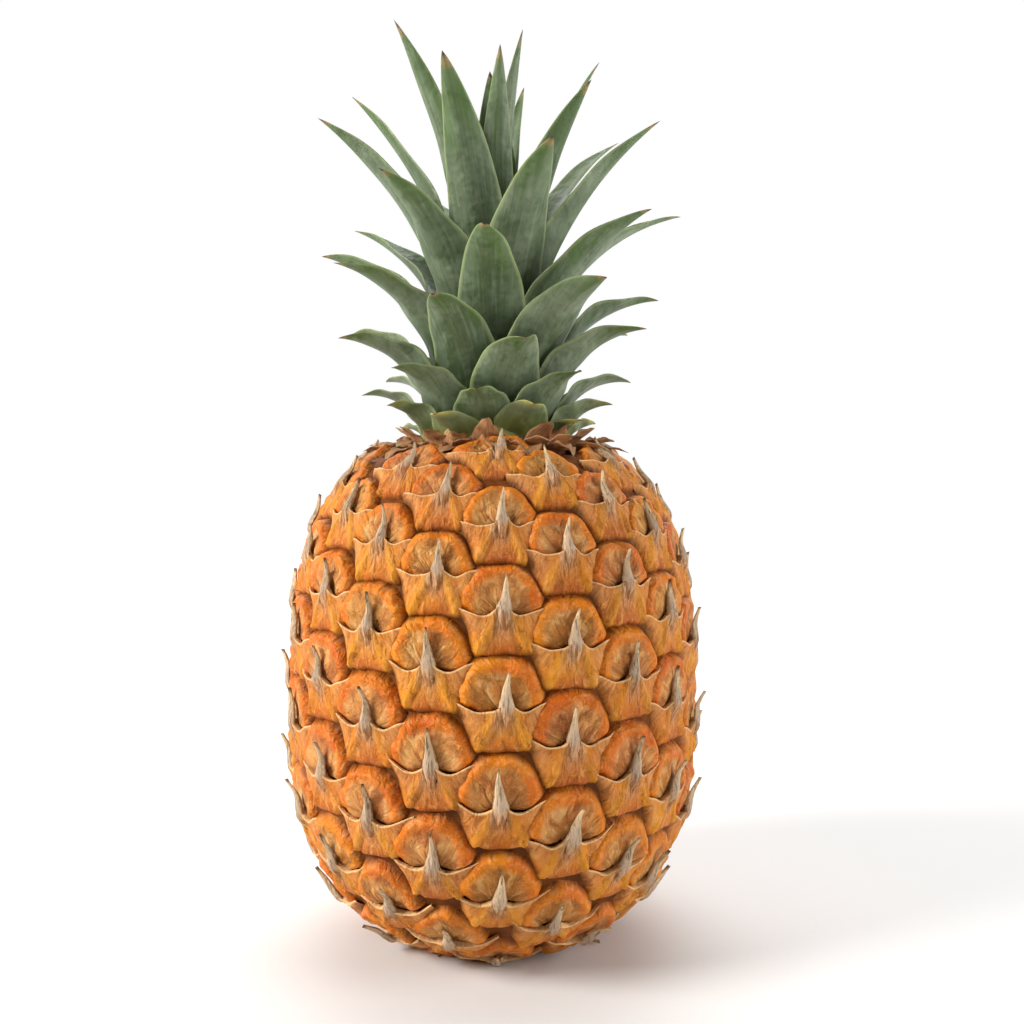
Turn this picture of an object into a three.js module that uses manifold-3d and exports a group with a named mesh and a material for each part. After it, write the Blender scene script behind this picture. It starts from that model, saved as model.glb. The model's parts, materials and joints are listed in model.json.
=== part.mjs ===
// A whole ripe pineapple standing on its base, in millimetres, +Z up.
// The origin is the centre of the cut stalk face, on the surface the fruit stands on, and -Y is the front.
// It is four grown pieces: the fruit with its fused eyes, the cut stalk under it, the neck with its
// dry bracts, and the crown.
import * as THREE from "three";
import { ConvexHull } from "three/addons/math/ConvexHull.js";
import { mergeVertices } from "three/addons/utils/BufferGeometryUtils.js";
import Module from "manifold-3d";

// Driving dimensions of the fruit's body, a rounded barrel with its widest level below the middle.
const BODY_RADIUS = 61.8;
const WIDEST_HEIGHT = 70; // above the surface it stands on
const TOP_POLE = 154;
const BOTTOM_POLE = -4; // the rounded bottom is flattened where it stands
const UPPER_POWERS = { height: 3.0, radius: 2.8 };
const LOWER_POWERS = { height: 2.6, radius: 2.4 };
const NECK_HEIGHT = 145.5;

// The eyes, one for each fused fruitlet, on one spiral with 8, 13 and 21 rows.
const EYE_AREA = 474;
const EYE_TURN = THREE.MathUtils.degToRad((-360 * 8) / 21);
const FRONT_EYE = { height: 52.7, turn: THREE.MathUtils.degToRad(3) };
const CROWDING_UP = { from: 81, to: 146, amount: 0.35 }; // eyes get smaller towards the neck
const CROWDING_DOWN = { below: 41, amount: 0.1 };
const GROOVE_DEPTH = 1.7;
const RIM_AT = 0.8; // of the way from an eye's middle to the groove
// Heights every 30 degrees round the rim, from the right over the top and back under the bract.
const RIM_HEIGHTS = [1.7, 1.2, 1.3, 1.4, 1.3, 1.2, 1.7, 0.7, 1.6, 0.8, 1.6, 0.7];
// Places within an eye, up from its middle in shares of its half width, with heights over the body.
const DISC = { middle: 0.5, height: 0.3, foot: 0.02, footHeight: 0.6 };
const BRACT = { edge: -0.05, edgeHeight: 2.4, fold: -0.14, foldHeight: 2.9 };
const SPINE = { tip: 0.42, tipHeight: 4.6, halfWidth: 0.13 };

// The cut stalk, in a socket in the fruit's base.
const STALK_RADIUS = 13;
const STALK_LENGTH = 12;
const ROUND_SIDES = 28;
const GAP = 0.35; // between pieces that touch

// The neck, a short plug with two rows of dry papery bracts.
const NECK_PLUG = { bottomRadius: 27.5, topRadius: 25, height: 2.6, sides: 30 };
const DRY_BRACTS = {
  count: 34,
  length: 14.25,
  width: 9.5,
  thickness: 0.9,
  channel: 0.08,
  sunk: 1.5,
  rise: 0.75, // from one row to the next
  lowerTilts: [78, 94], // degrees from upright at the root and the tip
  upperTilts: [58, 86],
  lengthChance: 2.25,
  turnChance: 0.03,
  steps: 3,
};

// The crown, a short tapering stem with its leaves on one golden spiral.
const CROWN_BASE = NECK_HEIGHT + NECK_PLUG.height + 2 * GAP;
const CROWN_STEM = {
  bottomRadius: 24.5,
  topRadius: 2,
  narrowing: 2.2,
  height: 46,
  climb: 1.4,
  sunk: 1,
  sides: 16,
};
const LEAF_COUNT = 57;
const LEAF_TURN = THREE.MathUtils.degToRad(137.508);
const FIRST_LEAF_TURN = THREE.MathUtils.degToRad(57.3);
const LEAF_THICKNESS = 1.5;
const LEAF_STEPS = { short: 4, long: 6, longFrom: 0.4 };
const LEAF_CHANCE = { length: 0.1, bend: 0.1, turn: 5 }; // shares, and degrees of turn
const LEAF_LENGTH = { lowest: 16, more: 72, fullAt: 0.8, power: 1.45, heartLess: 6 };
const LEAF_TILT = { root: 16, chordAtHeart: 4, chordMore: 54, curl: 1.9 }; // degrees from upright
const LEAF_WIDTH = { lowest: 21, middleMore: 2, middleFrom: 0.4, heartLess: 10, heartFrom: 0.7 };
const LAST_LEAF_WIDER = 1.5; // the last leaf is alone in the heart
const LEAF_CHANNEL = { lowest: 0.3, heart: 0.42 }; // depth in shares of the half width
// Every blade, leaf or bract: its outline's two powers, how narrow its root is and how thin its tip.
const BLADE = { fullness: 1.7, point: 0.85, rootWidth: 0.8, rootEnd: 0.2, tipThickness: 0.7 };
const ROOT_DEPTH = 2.5; // how far a leaf's root is sunk into the stem

// What is taken off a finished body: detail finer than this, and places between the points of a fine grid.
const FINEST_DETAIL = 0.04;
const GRID = 0.01;
const SAME_POINT = 1e-4;

const FRUIT_COLOUR = 0xd07a1e;
const STALK_COLOUR = 0xb59a6a;
const DRY_COLOUR = 0xa87858;
const LEAF_COLOUR = 0x5f7d5c;

const wasm = await Module();
wasm.setup();

const { lerp, smoothstep, clamp } = THREE.MathUtils;

// A number from -1 to 1 that looks like chance but is always the same for one leaf and one use.
function chance(number, use) {
  const wave = Math.sin(number * 12.9898 + use * 78.233) * 43758.5453;
  return 2 * (wave - Math.floor(wave)) - 1;
}

function solidFrom(geometry) {
  const bare = geometry.index ? geometry.toNonIndexed() : geometry.clone();
  bare.deleteAttribute("normal");
  bare.deleteAttribute("uv");
  const merged = mergeVertices(bare, SAME_POINT);
  return new wasm.Manifold(
    new wasm.Mesh({
      numProp: 3,
      vertProperties: merged.attributes.position.array,
      triVerts: new Uint32Array(merged.index.array),
    }),
  );
}

function geometryFrom(solid) {
  const mesh = solid.getMesh();
  const points = new Float32Array(mesh.numVert * 3);
  for (let i = 0; i < mesh.numVert; i++) {
    points.set(mesh.vertProperties.subarray(i * mesh.numProp, i * mesh.numProp + 3), i * 3);
  }
  const geometry = new THREE.BufferGeometry();
  geometry.setAttribute("position", new THREE.BufferAttribute(points, 3));
  geometry.setIndex(new THREE.BufferAttribute(mesh.triVerts, 1));
  geometry.computeVertexNormals();
  return geometry;
}

function geometryOfTriangles(corners) {
  const flat = new Float32Array(corners.flatMap((p) => [p.x, p.y, p.z]));
  return new THREE.BufferGeometry().setAttribute("position", new THREE.BufferAttribute(flat, 3));
}

// Tidies a joined solid: its points move onto a fine grid, slivers go, and pockets closed in
// between leaf roots become solid, because only the outer body is kept.
function tidied(solid) {
  const geometry = geometryFrom(solid.simplify(FINEST_DETAIL));
  const points = geometry.attributes.position.array;
  points.forEach((value, i) => (points[i] = Math.round(value / GRID) * GRID));
  const bodies = solidFrom(geometry).decompose();
  return bodies.reduce((best, body) => (body.volume() > best.volume() ? body : best));
}

// A slab used as a cutter, from one height to another and wider than the fruit.
function slab(low, high) {
  const side = 4 * BODY_RADIUS;
  return solidFrom(new THREE.BoxGeometry(side, side, high - low).translate(0, 0, (low + high) / 2));
}

function lathedSolid(profile, sides) {
  const points = profile.map(([r, z]) => new THREE.Vector2(r, z));
  return solidFrom(new THREE.LatheGeometry(points, sides).rotateX(Math.PI / 2));
}

// The body's surface is where this is zero, and it is negative inside.
function bodyField(point) {
  const above = point.z > WIDEST_HEIGHT;
  const powers = above ? UPPER_POWERS : LOWER_POWERS;
  const reach = above ? TOP_POLE - WIDEST_HEIGHT : WIDEST_HEIGHT - BOTTOM_POLE;
  const across = Math.hypot(point.x, point.y) / BODY_RADIUS;
  const up = Math.abs(point.z - WIDEST_HEIGHT) / reach;
  return across ** powers.radius + up ** powers.height - 1;
}

const BODY_MIDDLE = new THREE.Vector3(0, 0, WIDEST_HEIGHT);

// The point of the body's surface in the direction of another point, seen from the body's middle.
function onBody(point) {
  const direction = point.clone().sub(BODY_MIDDLE).normalize();
  let near = 0;
  let far = TOP_POLE;
  for (let i = 0; i < 40; i++) {
    const middle = (near + far) / 2;
    if (bodyField(direction.clone().multiplyScalar(middle).add(BODY_MIDDLE)) < 0) near = middle;
    else far = middle;
  }
  return direction.multiplyScalar(near).add(BODY_MIDDLE);
}

function bodyNormal(point) {
  const step = 0.01;
  const along = (x, y, z) =>
    bodyField(point.clone().add(new THREE.Vector3(x, y, z))) -
    bodyField(point.clone().sub(new THREE.Vector3(x, y, z)));
  return new THREE.Vector3(along(step, 0, 0), along(0, step, 0), along(0, 0, step)).normalize();
}

function raised(point, height) {
  const foot = onBody(point);
  return foot.addScaledVector(bodyNormal(foot), height);
}

// The body's outline from the bottom pole to the top one, with the room for eyes below each of its
// points and the height of each on a map that keeps angles.
function outline() {
  const steps = 3000;
  const rows = [];
  let eyes = 0;
  let mapHeight = 0;
  let last = null;
  for (let i = 1; i < steps; i++) {
    const angle = Math.PI * (i / steps - 0.5);
    const here = onBody(new THREE.Vector3(Math.cos(angle), 0, WIDEST_HEIGHT + Math.sin(angle)));
    if (last) {
      const stride = here.distanceTo(last);
      const radius = (here.x + last.x) / 2;
      const { below, amount } = CROWDING_DOWN;
      const crowding =
        1 +
        CROWDING_UP.amount * smoothstep(here.z, CROWDING_UP.from, CROWDING_UP.to) +
        amount * clamp((below - here.z) / (below - BOTTOM_POLE), 0, 1);
      eyes += (2 * Math.PI * radius * stride * crowding) / EYE_AREA;
      mapHeight += stride / radius;
    }
    rows.push({ radius: here.x, height: here.z, eyes, mapHeight });
    last = here;
  }
  const middle = rows.find((row) => row.height >= WIDEST_HEIGHT).mapHeight;
  return rows.map((row) => ({ ...row, mapHeight: row.mapHeight - middle }));
}

// The middles of the eyes, from the bottom pole up.
function eyeMiddles() {
  const rows = outline();
  const frontRow = rows.find((row) => row.height >= FRONT_EYE.height);
  const eyes = [];
  const lowest = -Math.floor(frontRow.eyes);
  for (let n = lowest; ; n++) {
    const at = rows.findIndex((row) => row.eyes >= frontRow.eyes + n);
    if (at < 0) return eyes;
    const { radius, height, mapHeight } = rows[at];
    const turn = FRONT_EYE.turn + n * EYE_TURN;
    const middle = new THREE.Vector3(radius * Math.sin(turn), -radius * Math.cos(turn), height);
    const latitude = 2 * Math.atan(Math.exp(mapHeight)) - Math.PI / 2;
    const onMap = new THREE.Vector3(
      Math.cos(latitude) * Math.sin(turn),
      -Math.cos(latitude) * Math.cos(turn),
      Math.sin(latitude),
    );
    eyes.push({ middle, onMap, turn, corners: [] });
  }
}

// Gives each eye the corners that it shares with its neighbours. The hull of the eyes on a
// round map is their best net of triangles, and each triangle's middle is one shared corner.
function shareCorners(eyes) {
  const byPoint = new Map(eyes.map((eye) => [eye.onMap, eye]));
  for (const face of new ConvexHull().setFromPoints(eyes.map((eye) => eye.onMap)).faces) {
    const around = [];
    let edge = face.edge;
    do {
      around.push(byPoint.get(edge.head().point));
      edge = edge.next;
    } while (edge !== face.edge);
    const corner = new THREE.Vector3();
    for (const eye of around) corner.addScaledVector(eye.middle, 1 / around.length);
    for (const eye of around) eye.corners.push(onBody(corner));
  }
}

// An eye's own directions: across to the right, up towards the crown, and out.
function eyeFrame(eye) {
  const out = bodyNormal(eye.middle);
  const across = new THREE.Vector3(Math.cos(eye.turn), Math.sin(eye.turn), 0);
  const up = out.clone().cross(across);
  return { out, across, up };
}

// The eye's edge as a loop of shared points, each with its angle round the eye.
function eyeEdge(eye, { across, up }) {
  const angleOf = (point) => {
    const from = point.clone().sub(eye.middle);
    return Math.atan2(from.dot(up), from.dot(across));
  };
  const corners = eye.corners
    .map((point) => ({ point, angle: angleOf(point) }))
    .sort((a, b) => a.angle - b.angle);
  return corners.flatMap((corner, i) => {
    const next = corners[(i + 1) % corners.length];
    const [a, b] = corner.point.x < next.point.x ? [corner.point, next.point] : [next.point, corner.point];
    const half = a.clone().add(b).multiplyScalar(0.5);
    return [corner, { point: half, angle: angleOf(half) }];
  });
}

// Where a ray at this angle from the eye's middle meets its edge.
function edgeAt(loop, angle) {
  const full = 2 * Math.PI;
  const turnTo = (other) => (((other - angle) % full) + full) % full;
  const after = loop.reduce((best, e) => (turnTo(e.angle) < turnTo(best.angle) ? e : best));
  const before = loop.reduce((best, e) => (turnTo(e.angle) > turnTo(best.angle) ? e : best));
  const span = (((after.angle - before.angle) % full) + full) % full || full;
  const share = ((((angle - before.angle) % full) + full) % full) / span;
  return before.point.clone().lerp(after.point, share);
}

// One eye's relief as triangles: the groove, the crinkled rim, the sunken disc over its upper
// half, the folded bract over its lower half, and the bract's spine standing over the disc.
function eyeTriangles(eye) {
  const frame = eyeFrame(eye);
  const edge = eyeEdge(eye, frame);
  const place = (angle, share, height) => {
    const spot = eye.middle.clone().lerp(edgeAt(edge, angle), share);
    return raised(spot, height);
  };
  const degrees = (value) => THREE.MathUtils.degToRad(value);
  const ring = RIM_HEIGHTS.map((height, i) => {
    const angle = i <= 6 ? degrees(30 * i) : degrees(30 * i - 360);
    return { angle, point: place(angle, RIM_AT, height) };
  });
  const groove = edge.map(({ angle, point }) => ({ angle, point: raised(point, -GROOVE_DEPTH) }));
  const triangles = [...bandBetween(groove, ring)];

  const size = eye.middle.distanceTo(edgeAt(edge, 0));
  const at = (right, up, height) =>
    raised(
      eye.middle
        .clone()
        .addScaledVector(frame.across, right * size)
        .addScaledVector(frame.up, up * size),
      height,
    );
  const disc = at(0, DISC.middle, DISC.height);
  const lowLeft = at(-SPINE.halfWidth, DISC.foot, DISC.footHeight);
  const lowRight = at(SPINE.halfWidth, DISC.foot, DISC.footHeight);
  const highLeft = at(-SPINE.halfWidth, BRACT.edge, BRACT.edgeHeight);
  const highRight = at(SPINE.halfWidth, BRACT.edge, BRACT.edgeHeight);
  const fold = at(0, BRACT.fold, BRACT.foldHeight);
  const tip = at(0, SPINE.tip, SPINE.tipHeight);
  const p = ring.map((r) => r.point);
  const left = p[6];
  const right = p[0];
  for (let i = 0; i < 6; i++) triangles.push(p[i], p[i + 1], disc);
  triangles.push(disc, left, lowLeft, disc, lowLeft, lowRight, disc, lowRight, right);
  triangles.push(lowLeft, left, highLeft, lowRight, highRight, right);
  triangles.push(lowRight, lowLeft, tip, lowLeft, highLeft, tip, highRight, lowRight, tip);
  triangles.push(highLeft, fold, tip, fold, highRight, tip);
  triangles.push(left, p[7], highLeft, p[7], p[8], highLeft, highLeft, p[8], fold);
  triangles.push(p[8], p[9], fold, p[9], p[10], fold, fold, p[10], highRight);
  triangles.push(p[10], p[11], highRight, p[11], right, highRight);
  return triangles;
}

// The triangles between an outer and an inner loop of points that run the same way round.
function bandBetween(outer, inner) {
  const full = 2 * Math.PI;
  const start = inner[0].angle;
  const fromStart = (angle) => (((angle - start) % full) + full) % full;
  const outside = outer.map((e) => ({ ...e, turn: fromStart(e.angle) })).sort((a, b) => a.turn - b.turn);
  const inside = inner.map((e) => ({ ...e, turn: fromStart(e.angle) }));
  const triangles = [];
  let o = 0;
  let i = 0;
  while (o < outside.length || i < inside.length) {
    const outNow = outside[o % outside.length];
    const inNow = inside[i % inside.length];
    const outNext = o + 1 < outside.length ? outside[o + 1].turn : outside[0].turn + full;
    const inNext = i + 1 < inside.length ? inside[i + 1].turn : full;
    if (o < outside.length && (i >= inside.length || outNext <= inNext)) {
      triangles.push(outNow.point, outside[(o + 1) % outside.length].point, inNow.point);
      o++;
    } else {
      triangles.push(outNow.point, inside[(i + 1) % inside.length].point, inNow.point);
      i++;
    }
  }
  return triangles;
}

function fruitSolid() {
  const eyes = eyeMiddles();
  shareCorners(eyes);
  const skin = solidFrom(geometryOfTriangles(eyes.flatMap(eyeTriangles)));
  const socketRadius = STALK_RADIUS + GAP;
  const socketTop = STALK_LENGTH + GAP;
  const socket = lathedSolid(
    [
      [0, -1],
      [socketRadius, -1],
      [socketRadius, socketTop],
      [0, socketTop],
    ],
    ROUND_SIDES,
  );
  return tidied(
    skin
      .subtract(slab(-3 * WIDEST_HEIGHT, 0))
      .subtract(slab(NECK_HEIGHT, 2 * TOP_POLE))
      .subtract(socket),
  );
}

function stalkSolid() {
  const bark = 0.6; // the outer edge of the cut is a little worn
  return lathedSolid(
    [
      [0, 0],
      [STALK_RADIUS - bark, 0],
      [STALK_RADIUS, bark],
      [STALK_RADIUS, STALK_LENGTH],
      [0, STALK_LENGTH],
    ],
    ROUND_SIDES,
  );
}

// A pointed, channelled blade as a closed solid. It leaves the stem at a radius and a height,
// and bends from its root tilt to its tip tilt, both measured from straight up.
function blade(shape) {
  const { turn, radius, height, length, width, rootTilt, tipTilt, thickness, channel, steps } = shape;
  const out = new THREE.Vector3(Math.sin(turn), -Math.cos(turn), 0);
  const side = new THREE.Vector3(Math.cos(turn), Math.sin(turn), 0);
  const sections = [];
  const spot = new THREE.Vector2(radius, height);
  for (let i = 0; i < steps; i++) {
    const t = i / steps;
    const tilt = lerp(rootTilt, tipTilt, t);
    const outline = (1 - t ** BLADE.fullness) ** BLADE.point;
    const halfWidth = (width / 2) * outline * lerp(BLADE.rootWidth, 1, clamp(t / BLADE.rootEnd, 0, 1));
    const outward = new THREE.Vector2(Math.cos(tilt), -Math.sin(tilt));
    const point = (across, lift) =>
      out
        .clone()
        .multiplyScalar(spot.x + outward.x * lift)
        .addScaledVector(side, across)
        .setZ(spot.y + outward.y * lift);
    const depth = halfWidth * channel;
    const half = i === 0 ? thickness : (thickness / 2) * lerp(1, BLADE.tipThickness, t);
    sections.push([
      point(-halfWidth, -depth),
      point(0, half),
      point(halfWidth, -depth),
      point(0, -half),
    ]);
    const stride = length / steps;
    spot.x += Math.sin(tilt) * stride;
    spot.y += Math.cos(tilt) * stride;
  }
  const tip = out.clone().multiplyScalar(spot.x).setZ(spot.y);
  const root = sections[0];
  const triangles = [root[1], root[0], root[3], root[2], root[1], root[3]];
  for (let i = 0; i + 1 < steps; i++) {
    for (let k = 0; k < 4; k++) {
      const [a, b] = [sections[i][k], sections[i][(k + 1) % 4]];
      const [c, d] = [sections[i + 1][k], sections[i + 1][(k + 1) % 4]];
      triangles.push(a, b, c, b, d, c);
    }
  }
  const end = sections[steps - 1];
  for (let k = 0; k < 4; k++) triangles.push(end[k], end[(k + 1) % 4], tip);
  return solidFrom(geometryOfTriangles(triangles));
}

// The neck: a plug on the fruit's flat top, ringed by dry bracts that stand out over the shoulder.
function neckSolid() {
  const low = NECK_HEIGHT + GAP;
  let solid = lathedSolid(
    [
      [0, low],
      [NECK_PLUG.bottomRadius, low],
      [NECK_PLUG.topRadius, low + NECK_PLUG.height],
      [0, low + NECK_PLUG.height],
    ],
    NECK_PLUG.sides,
  );
  for (let i = 0; i < DRY_BRACTS.count; i++) {
    const upper = i % 2;
    const [rootTilt, tipTilt] = upper ? DRY_BRACTS.upperTilts : DRY_BRACTS.lowerTilts;
    const bract = blade({
      turn: (i / DRY_BRACTS.count) * 2 * Math.PI + DRY_BRACTS.turnChance * chance(i, 1),
      radius: NECK_PLUG.topRadius - DRY_BRACTS.sunk,
      height: low + DRY_BRACTS.rise * (upper ? 2 : 1),
      length: DRY_BRACTS.length + DRY_BRACTS.lengthChance * chance(i, 2),
      width: DRY_BRACTS.width,
      rootTilt: THREE.MathUtils.degToRad(rootTilt),
      tipTilt: THREE.MathUtils.degToRad(tipTilt),
      thickness: DRY_BRACTS.thickness,
      channel: DRY_BRACTS.channel,
      steps: DRY_BRACTS.steps,
    });
    solid = solid.add(bract);
  }
  return tidied(solid.subtract(slab(-WIDEST_HEIGHT, low)));
}

// Where a crown leaf leaves the stem and how wide it is there, by its place on the spiral,
// 0 at the lowest leaf and 1 at the heart.
function leafRoot(place) {
  const { bottomRadius, topRadius, narrowing, height, climb, sunk } = CROWN_STEM;
  const { lowest, middleMore, middleFrom, heartLess, heartFrom } = LEAF_WIDTH;
  return {
    radius: lerp(bottomRadius, topRadius, place ** narrowing),
    height: CROWN_BASE - sunk + height * place ** climb,
    width: lowest
      + middleMore * smoothstep(place, 0, middleFrom)
      - heartLess * smoothstep(place, heartFrom, 1),
  };
}

function leafLength(place) {
  const { lowest, more, fullAt, power, heartLess } = LEAF_LENGTH;
  return lowest + more * Math.min(1, place / fullAt) ** power - heartLess * smoothstep(place, fullAt, 1);
}

// A crown leaf's whole shape, with a little chance in its length, its bend and its turn.
function leafShape(number) {
  const { degToRad } = THREE.MathUtils;
  const place = number / (LEAF_COUNT - 1);
  const wider = place < 1 ? 1 : LAST_LEAF_WIDER;
  const rootTilt = LEAF_TILT.root * Math.sqrt(1 - place);
  const chordTilt = LEAF_TILT.chordAtHeart + LEAF_TILT.chordMore * (1 - place ** 3);
  const bend = LEAF_TILT.curl * (chordTilt - rootTilt) * (1 + LEAF_CHANCE.bend * chance(number, 2));
  const root = leafRoot(place);
  return {
    ...root,
    turn: FIRST_LEAF_TURN + number * LEAF_TURN + degToRad(LEAF_CHANCE.turn * chance(number, 4)),
    radius: root.radius - ROOT_DEPTH,
    length: leafLength(place) * (1 + LEAF_CHANCE.length * chance(number, 1)),
    width: root.width * wider,
    rootTilt: degToRad(rootTilt),
    tipTilt: degToRad(rootTilt + bend),
    thickness: LEAF_THICKNESS,
    channel: lerp(LEAF_CHANNEL.lowest, LEAF_CHANNEL.heart, place),
    steps: place < LEAF_STEPS.longFrom ? LEAF_STEPS.short : LEAF_STEPS.long,
  };
}

// The crown's stem, as wide at each height as the leaves that leave it there.
function stemSolid() {
  const places = [0, 0.3, 0.5, 0.7, 0.85, 1];
  const profile = places.map((place) => {
    const { radius, height } = leafRoot(place);
    return [radius, height];
  });
  const below = CROWN_BASE - ROOT_DEPTH;
  const top = CROWN_BASE + CROWN_STEM.height + ROOT_DEPTH;
  return lathedSolid([[0, below], [profile[0][0], below], ...profile, [0, top]], CROWN_STEM.sides);
}

function crownSolid() {
  let solid = stemSolid();
  for (let n = 0; n < LEAF_COUNT; n++) solid = solid.add(blade(leafShape(n)));
  return tidied(solid.subtract(slab(-WIDEST_HEIGHT, CROWN_BASE)));
}

function piece(name, solid, color, roughness) {
  const material = new THREE.MeshStandardMaterial({ color, roughness, metalness: 0 });
  const mesh = new THREE.Mesh(geometryFrom(solid), material);
  mesh.name = name;
  return mesh;
}

const pineapple = new THREE.Group();
pineapple.add(piece("fruit", fruitSolid(), FRUIT_COLOUR, 0.5));
pineapple.add(piece("stalk", stalkSolid(), STALK_COLOUR, 0.9));
pineapple.add(piece("neck_bracts", neckSolid(), DRY_COLOUR, 0.85));
pineapple.add(piece("crown", crownSolid(), LEAF_COLOUR, 0.55));

export default pineapple;
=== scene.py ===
import json
import math

import bpy
import numpy as np
from mathutils import Matrix, Vector

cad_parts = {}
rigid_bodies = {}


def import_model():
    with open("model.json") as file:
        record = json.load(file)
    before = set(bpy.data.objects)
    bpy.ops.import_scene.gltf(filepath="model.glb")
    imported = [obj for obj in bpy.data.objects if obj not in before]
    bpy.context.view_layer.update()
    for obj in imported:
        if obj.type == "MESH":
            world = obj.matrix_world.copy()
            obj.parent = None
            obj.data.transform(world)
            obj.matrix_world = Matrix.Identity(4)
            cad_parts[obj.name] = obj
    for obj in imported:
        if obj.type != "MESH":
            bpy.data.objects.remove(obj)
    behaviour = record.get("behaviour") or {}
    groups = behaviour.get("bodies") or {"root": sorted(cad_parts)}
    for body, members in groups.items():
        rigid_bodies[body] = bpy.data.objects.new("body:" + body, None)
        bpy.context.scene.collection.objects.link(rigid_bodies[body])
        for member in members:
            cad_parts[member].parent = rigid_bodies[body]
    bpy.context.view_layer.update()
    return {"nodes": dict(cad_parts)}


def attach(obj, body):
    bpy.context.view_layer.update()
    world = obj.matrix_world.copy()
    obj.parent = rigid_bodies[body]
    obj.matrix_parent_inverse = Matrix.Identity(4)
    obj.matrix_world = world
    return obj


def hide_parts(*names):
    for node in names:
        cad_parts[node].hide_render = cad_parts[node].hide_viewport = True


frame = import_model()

mm = 0.001

# The fruit's body and its spiral of eyes, in millimetres, as in the part's source.
body = {
    "radius": 61.8,
    "widest": 70.0,
    "topPole": 154.0,
    "bottomPole": -4.0,
    "upperPowers": (3.0, 2.8),  # height, radius
    "lowerPowers": (2.6, 2.4),
    "neck": 145.5,
}
eyeRule = {
    "area": 474.0,
    "turn": -2 * math.pi * 8 / 21,
    "frontHeight": 52.7,
    "frontTurn": math.radians(3),
    "crowdingUp": (81.0, 146.0, 0.35),
    "crowdingDown": (41.0, 0.1),
}


# Small helpers

def smooth(value, low, high):
    t = np.clip((value - low) / (high - low), 0, 1)
    return t * t * (3 - 2 * t)


def srgb(red, green, blue):  # a colour as seen under the lights, to the deeper linear one that shaders use
    return tuple((((c / 255 + 0.055) / 1.055) ** 2.4) ** 1.3 for c in (red, green, blue)) + (1.0,)


def chance(number, use):  # from -1 to 1, always the same for one thing and one use
    wave = math.sin(number * 12.9898 + use * 78.233) * 43758.5453
    return 2 * (wave - math.floor(wave)) - 1


def bodyField(points):  # negative inside the body, zero on it
    above = points[:, 2] > body["widest"]
    reach = np.where(above, body["topPole"] - body["widest"], body["widest"] - body["bottomPole"])
    heightPower = np.where(above, body["upperPowers"][0], body["lowerPowers"][0])
    radiusPower = np.where(above, body["upperPowers"][1], body["lowerPowers"][1])
    across = np.hypot(points[:, 0], points[:, 1]) / body["radius"]
    up = np.abs(points[:, 2] - body["widest"]) / reach
    return across ** radiusPower + up ** heightPower - 1


def onBody(points):  # straight out from the body's middle to its surface
    middle = np.array([0, 0, body["widest"]])
    direction = points - middle
    direction /= np.linalg.norm(direction, axis=1, keepdims=True)
    near = np.zeros(len(points))
    far = np.full(len(points), body["topPole"])
    for _ in range(26):
        half = (near + far) / 2
        inside = bodyField(direction * half[:, None] + middle) < 0
        near = np.where(inside, half, near)
        far = np.where(inside, far, half)
    return direction * near[:, None] + middle


def bodyNormal(points):
    slope = []
    for axis in np.eye(3) * 0.01:
        slope.append(bodyField(points + axis) - bodyField(points - axis))
    slope = np.stack(slope, 1)
    return slope / np.linalg.norm(slope, axis=1, keepdims=True)


def bodyOutline():  # radius, height and room for eyes along the outline, bottom to top
    angle = np.linspace(-np.pi / 2, np.pi / 2, 4001)[1:-1]
    spots = onBody(np.stack([np.cos(angle), 0 * angle, body["widest"] + np.sin(angle)], 1))
    radius, height = spots[:, 0], spots[:, 2]
    low, high, amount = eyeRule["crowdingUp"]
    below, amountDown = eyeRule["crowdingDown"]
    crowding = 1 + amount * smooth(height, low, high)
    crowding += amountDown * np.clip((below - height) / (below - body["bottomPole"]), 0, 1)
    stride = np.hypot(np.diff(radius), np.diff(height))
    middle = (radius[1:] + radius[:-1]) / 2
    room = 2 * np.pi * middle * stride * crowding[1:] / eyeRule["area"]
    return radius, height, np.concatenate([[0], np.cumsum(room)])


def eyeMiddles():
    radius, height, room = bodyOutline()
    front = np.interp(eyeRule["frontHeight"], height, room)
    number = np.arange(-math.floor(front), math.floor(room[-1] - front) + 1)
    eyeRadius = np.interp(front + number, room, radius)
    eyeHeight = np.interp(front + number, room, height)
    turn = eyeRule["frontTurn"] + number * eyeRule["turn"]
    return np.stack([eyeRadius * np.sin(turn), -eyeRadius * np.cos(turn), eyeHeight], 1), turn


def meshObject(name, vertices, faces, attributes=None):
    mesh = bpy.data.meshes.new(name)
    mesh.from_pydata([tuple(v) for v in vertices], [], [tuple(f) for f in faces])
    for key, values in (attributes or {}).items():
        values = np.asarray(values)
        kind = "FLOAT_VECTOR" if values.ndim == 2 else ("INT" if values.dtype.kind == "i" else "FLOAT")
        attribute = mesh.attributes.new(key, kind, "POINT")
        attribute.data.foreach_set("vector" if values.ndim == 2 else "value", values.ravel())
    mesh.update()
    return bpy.data.objects.new(name, mesh)


def readAttribute(mesh, key):
    attribute = mesh.attributes[key]
    vector = attribute.data_type == "FLOAT_VECTOR"
    kind = np.int32 if attribute.data_type == "INT" else np.float32
    values = np.zeros(len(mesh.vertices) * (3 if vector else 1), kind)
    attribute.data.foreach_get("vector" if vector else "value", values)
    return values.reshape(-1, 3) if vector else values


def gridFaces(rows, columns, closed=False):  # columns run round when closed
    faces = []
    for i in range(rows - 1):
        for j in range(columns if closed else columns - 1):
            k = (j + 1) % columns
            faces.append((i * columns + j, i * columns + k, (i + 1) * columns + k, (i + 1) * columns + j))
    return faces


# Node trees

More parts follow.
